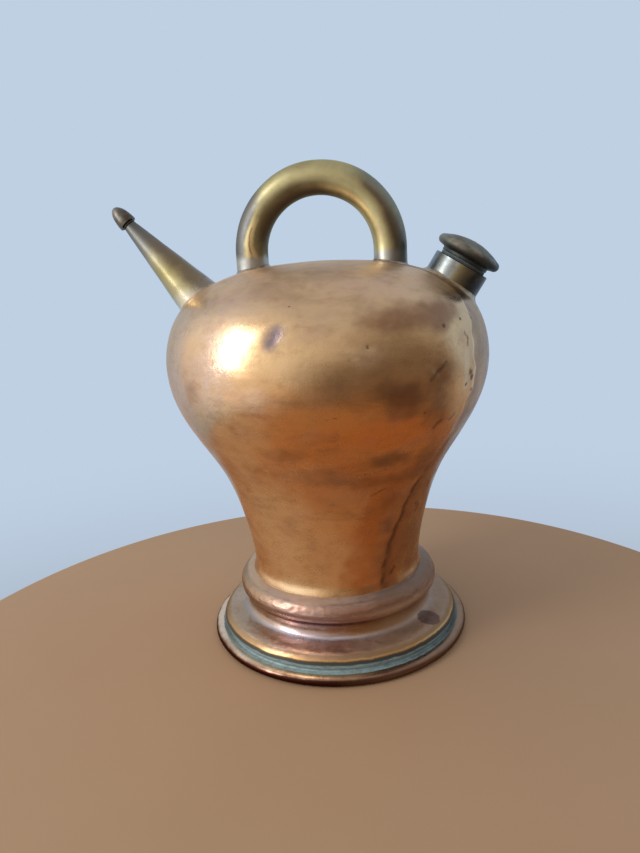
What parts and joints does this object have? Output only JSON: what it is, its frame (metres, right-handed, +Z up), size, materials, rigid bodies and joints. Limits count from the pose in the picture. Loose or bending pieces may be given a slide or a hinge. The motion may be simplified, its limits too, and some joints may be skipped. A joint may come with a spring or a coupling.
{
  "type": "copper oil can",
  "caption": "Bulbous copper oil can on a stepped foot, with a brass hoop handle, a conical pouring spout with a screw cap and a screw-stoppered filler.",
  "frame": {"origin": "centre of the flat bottom, on the vessel's axis", "axes": "+Z up along the vessel's axis; -X towards the spout; +X towards the filler; the handle hoop lies in the XZ plane"},
  "size_m": [0.2223, 0.1874, 0.2794],
  "materials": {
    "copper": "hand-polished copper with brown patina",
    "foot_copper": "hammered copper, pinkish patina with solder traces",
    "brass": "aged brass, olive patina",
    "collar_brass": "tinned brass, grey patina",
    "dark_brass": "dark bronze patina",
    "solder": "soft tin solder, dull grey",
    "iron": "plain iron wire",
    "leather": "oil-darkened leather"
  },
  "bodies": {
    "can": {"body_shell": "copper", "crown_disc": "copper", "foot_shell": "foot_copper", "bottom_plate": "copper", "crown_braze": "solder", "neck_solder": "solder", "bottom_solder": "solder", "handle_solder_left": "solder", "handle_solder_right": "solder", "spout_solder": "solder", "filler_solder": "solder", "rim_wire": "iron", "handle_hoop": "brass", "spout_cone": "brass", "spout_nipple": "brass", "filler_collar": "collar_brass"},
    "stopper_seal": {"stopper_washer": "leather"},
    "stopper": {"stopper_head": "dark_brass", "stopper_plug": "brass"},
    "cap_seal": {"cap_washer": "leather"},
    "cap": {"spout_cap": "dark_brass"}
  },
  "joints": [
    {"name": "stopper_lift", "type": "slide", "parent": "can", "child": "stopper_seal", "axis": [0.5299, 0, 0.848], "range_m": [0, 0.03]},
    {"name": "stopper_turn", "type": "hinge", "parent": "stopper_seal", "child": "stopper", "pos_m": [0.0786, 0, 0.2187], "axis": [0.5299, 0, 0.848], "range_deg": [0, 3600]},
    {"name": "cap_lift", "type": "slide", "parent": "can", "child": "cap_seal", "axis": [-0.6561, 0, 0.7547], "range_m": [0, 0.016]},
    {"name": "cap_turn", "type": "hinge", "parent": "cap_seal", "child": "cap", "pos_m": [-0.1137, 0, 0.2506], "axis": [-0.6561, 0, 0.7547], "range_deg": [0, 2880]}
  ],
  "couplings": [
    {"joint": "stopper_turn", "follows": "stopper_lift", "rad_per_m": 2094.4},
    {"joint": "cap_turn", "follows": "cap_lift", "rad_per_m": 3141.6}
  ]
}
